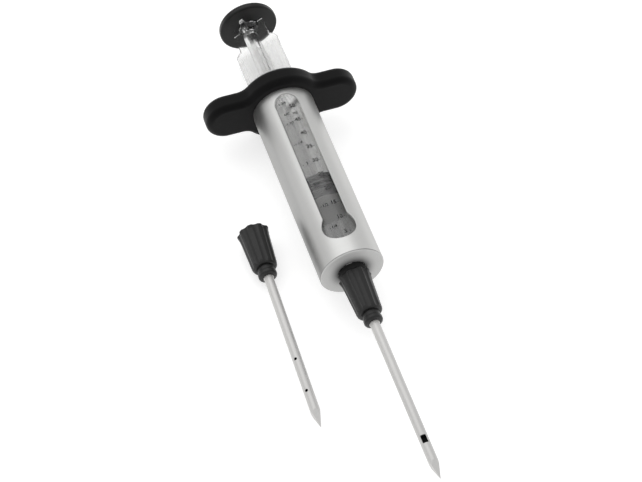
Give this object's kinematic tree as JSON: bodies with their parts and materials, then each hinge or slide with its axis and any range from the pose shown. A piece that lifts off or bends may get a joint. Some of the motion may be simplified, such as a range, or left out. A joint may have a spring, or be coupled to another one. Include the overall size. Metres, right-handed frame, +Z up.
{
  "type": "meat injector",
  "caption": "Hand syringe for injecting marinade into meat: steel sleeve with a viewing slot over a clear barrel, winged finger grip, cross rod plunger, screw-on needle and a spare needle.",
  "frame": {"origin": "middle of the bounding box in plan, on the table that the injector and its spare needle lie on", "axes": "+Z up from the table; -Y the way the needle points, +Y towards the thumb cap, along the injector, which lies 2.9 degrees nose down on its grip and the front edge of its sleeve; +X across the finger grip, away from the spare needle"},
  "size_m": [0.0844, 0.289, 0.0432],
  "materials": {
    "sleeve_steel": "satin brushed stainless steel",
    "needle_steel": "ground stainless steel",
    "clear_plastic": "clear moulded plastic",
    "print_ink": "black printed scale",
    "hard_black": "moulded black plastic",
    "soft_black": "soft-touch overmould",
    "gloss_black": "semi-gloss black plastic",
    "seal_rubber": "black rubber seal",
    "seal_silicone": "grey silicone washer"
  },
  "bodies": {
    "barrel": {"outer_sleeve": "sleeve_steel", "inner_barrel": "clear_plastic", "nose_collar": "hard_black", "scale_marks_ml": "print_ink", "scale_marks_oz": "print_ink", "grip_core": "hard_black", "grip_cover": "soft_black"},
    "cap_seal": {"cap_gasket": "seal_silicone"},
    "cap": {"rear_cap": "hard_black"},
    "piston": {"piston_head": "clear_plastic", "piston_o_ring_front": "seal_rubber", "piston_o_ring_middle": "seal_rubber", "piston_o_ring_rear": "seal_rubber"},
    "plunger": {"plunger_rod": "clear_plastic", "thumb_cap": "gloss_black"},
    "needle_seal": {"needle_washer": "seal_silicone"},
    "needle": {"needle_hub": "gloss_black", "needle_tube": "needle_steel"},
    "spare_needle": {"spare_hub": "gloss_black", "spare_tube": "needle_steel", "spare_washer": "seal_silicone"}
  },
  "joints": [
    {"name": "plunger_slide", "type": "slide", "parent": "barrel", "child": "piston", "axis": [0, 0.9987, 0.0504], "range_m": [-0.0338, 0.0612]},
    {"name": "plunger_spin", "type": "hinge", "parent": "piston", "child": "plunger", "pos_m": [0.00199, 0.03386, 0.01897], "axis": [0, 0.9987, 0.0504], "continuous": true},
    {"name": "needle_advance", "type": "slide", "parent": "barrel", "child": "needle_seal", "axis": [0, -0.9987, -0.0504], "range_m": [0, 0.0081]},
    {"name": "needle_turn", "type": "hinge", "parent": "needle_seal", "child": "needle", "pos_m": [0.00199, -0.03606, 0.01544], "axis": [0, -0.9987, -0.0504], "range_deg": [0, 1440]},
    {"name": "cap_advance", "type": "slide", "parent": "barrel", "child": "cap_seal", "axis": [0, 0.9987, 0.0504], "range_m": [0, 0.0027]},
    {"name": "cap_turn", "type": "hinge", "parent": "cap_seal", "child": "cap", "pos_m": [0.00199, 0.09088, 0.02184], "axis": [0, 0.9987, 0.0504], "range_deg": [0, 630]},
    {"name": "spare_needle_lift", "type": "slide", "parent": "barrel", "child": "spare_needle", "axis": [0, 0, 1], "range_m": [0, 0.1]}
  ],
  "couplings": [
    {"joint": "needle_advance", "follows": "needle_turn", "m_per_rad": 0.00031831},
    {"joint": "cap_advance", "follows": "cap_turn", "m_per_rad": 0.00023873}
  ]
}
